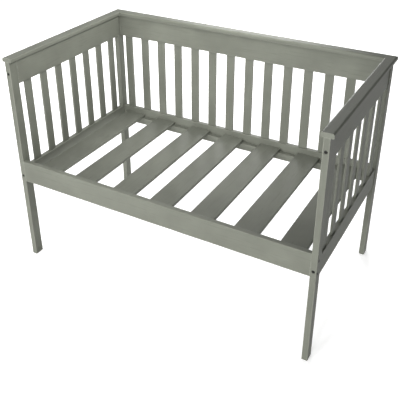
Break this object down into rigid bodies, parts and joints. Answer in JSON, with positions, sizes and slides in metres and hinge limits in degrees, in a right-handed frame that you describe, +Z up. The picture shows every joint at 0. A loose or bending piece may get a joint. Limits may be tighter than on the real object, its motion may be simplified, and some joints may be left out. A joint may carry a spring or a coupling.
{
  "type": "toddler bed",
  "caption": "Open-front toddler bed with square posts, slatted back and ends under rounded caps, a low front rail and a wide-slatted base.",
  "frame": {"origin": "on the floor, under the middle of the bed's bounding box", "axes": "+X along the bed, to the right seen from the open front; +Y from the open front to the slatted back; +Z up"},
  "size_m": [1.407, 0.803, 0.984],
  "materials": {
    "painted_wood": "satin grey-green paint over sanded softwood",
    "bolt_steel": "black oxide",
    "zinc_steel": "zinc plated",
    "dowel_beech": "bare beech"
  },
  "bodies": {
    "root": {"back_bolts": "bolt_steel", "back_bottom_board": "painted_wood", "back_cap": "painted_wood", "back_ledger": "painted_wood", "back_left_post": "painted_wood", "back_right_post": "painted_wood", "back_slat_01": "painted_wood", "back_slat_02": "painted_wood", "back_slat_03": "painted_wood", "back_slat_04": "painted_wood", "back_slat_05": "painted_wood", "back_slat_06": "painted_wood", "back_slat_07": "painted_wood", "back_slat_08": "painted_wood", "back_slat_09": "painted_wood", "back_slat_10": "painted_wood", "back_slat_11": "painted_wood", "back_slat_12": "painted_wood", "back_slat_13": "painted_wood", "back_slat_14": "painted_wood", "back_top_board": "painted_wood", "barrel_nuts": "zinc_steel", "base_slat_1": "painted_wood", "base_slat_2": "painted_wood", "base_slat_3": "painted_wood", "base_slat_4": "painted_wood", "base_slat_5": "painted_wood", "base_slat_6": "painted_wood", "base_slat_7": "painted_wood", "base_slat_screws": "bolt_steel", "board_dowels": "dowel_beech", "cap_dowels": "dowel_beech", "end_bolts": "bolt_steel", "front_ledger": "painted_wood", "front_left_post": "painted_wood", "front_rail": "painted_wood", "front_right_post": "painted_wood", "ledger_screws": "bolt_steel", "left_bottom_board": "painted_wood", "left_cap": "painted_wood", "left_slat_1": "painted_wood", "left_slat_2": "painted_wood", "left_slat_3": "painted_wood", "left_slat_4": "painted_wood", "left_slat_5": "painted_wood", "left_slat_6": "painted_wood", "left_slat_7": "painted_wood", "left_top_board": "painted_wood", "rail_bolts": "bolt_steel", "right_bottom_board": "painted_wood", "right_cap": "painted_wood", "right_slat_1": "painted_wood", "right_slat_2": "painted_wood", "right_slat_3": "painted_wood", "right_slat_4": "painted_wood", "right_slat_5": "painted_wood", "right_slat_6": "painted_wood", "right_slat_7": "painted_wood", "right_top_board": "painted_wood"}
  },
  "joints": []
}
